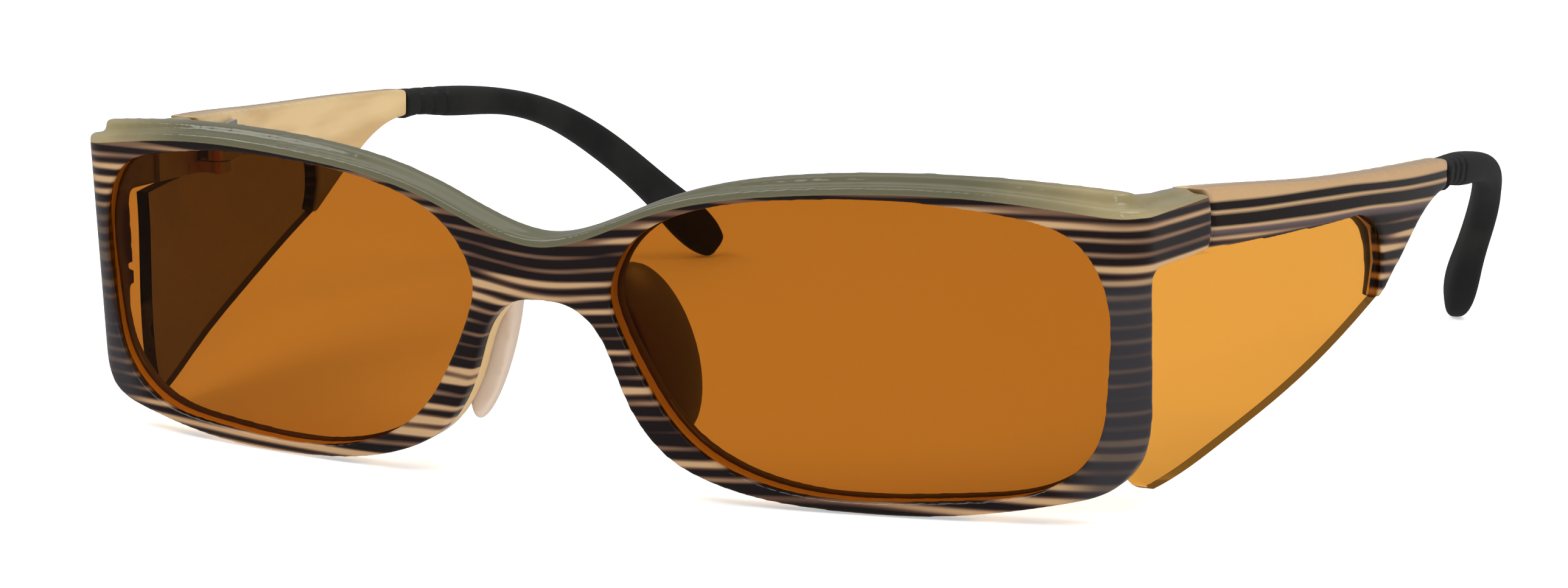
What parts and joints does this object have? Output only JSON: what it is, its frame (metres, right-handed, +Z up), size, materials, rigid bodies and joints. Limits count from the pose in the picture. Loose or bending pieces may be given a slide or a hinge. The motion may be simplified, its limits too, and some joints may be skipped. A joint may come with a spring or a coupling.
{
  "type": "glacier glasses",
  "caption": "Wrap-round sports sunglasses with tinted front lenses, tinted side shields, laminated frame, folding arms and rubber ear tips.",
  "frame": {"origin": "on the standing surface, in the middle of the open glasses' bounding box", "axes": "+X is the wearer's left, -Y is the way the wearer looks, +Z is up; the glasses are open and stand on their rims and ear tips"},
  "size_m": [0.148, 0.1479, 0.0376],
  "materials": {
    "striped_laminate": "polished, dark brown with thin tan stripes",
    "cream_laminate": "polished, translucent cream",
    "front_lens": "polished orange-brown tint",
    "side_lens": "polished amber tint",
    "nose_pad": "satin, cream white",
    "hinge_metal": "bright stainless steel",
    "ear_rubber": "matte black"
  },
  "bodies": {
    "front": {"front_face": "striped_laminate", "front_back": "cream_laminate", "lens_left": "front_lens", "lens_right": "front_lens", "nose_pad_left": "nose_pad", "nose_pad_right": "nose_pad", "front_hinge_left": "hinge_metal", "front_hinge_right": "hinge_metal", "hinge_screw_left": "hinge_metal", "hinge_screw_right": "hinge_metal"},
    "arm_left": {"arm_outer_left": "striped_laminate", "arm_inner_left": "cream_laminate", "side_shield_left": "side_lens", "arm_hinge_left": "hinge_metal", "core_wire_left": "hinge_metal", "ear_tip_left": "ear_rubber"},
    "arm_right": {"arm_outer_right": "striped_laminate", "arm_inner_right": "cream_laminate", "side_shield_right": "side_lens", "arm_hinge_right": "hinge_metal", "core_wire_right": "hinge_metal", "ear_tip_right": "ear_rubber"}
  },
  "joints": [
    {"name": "fold_left", "type": "hinge", "parent": "front", "child": "arm_left", "pos_m": [0.0606, -0.0442, 0.03105], "axis": [0, 0, 1], "range_deg": [0, 90]},
    {"name": "fold_right", "type": "hinge", "parent": "front", "child": "arm_right", "pos_m": [-0.0606, -0.0442, 0.03105], "axis": [0, 0, -1], "range_deg": [0, 82]}
  ]
}
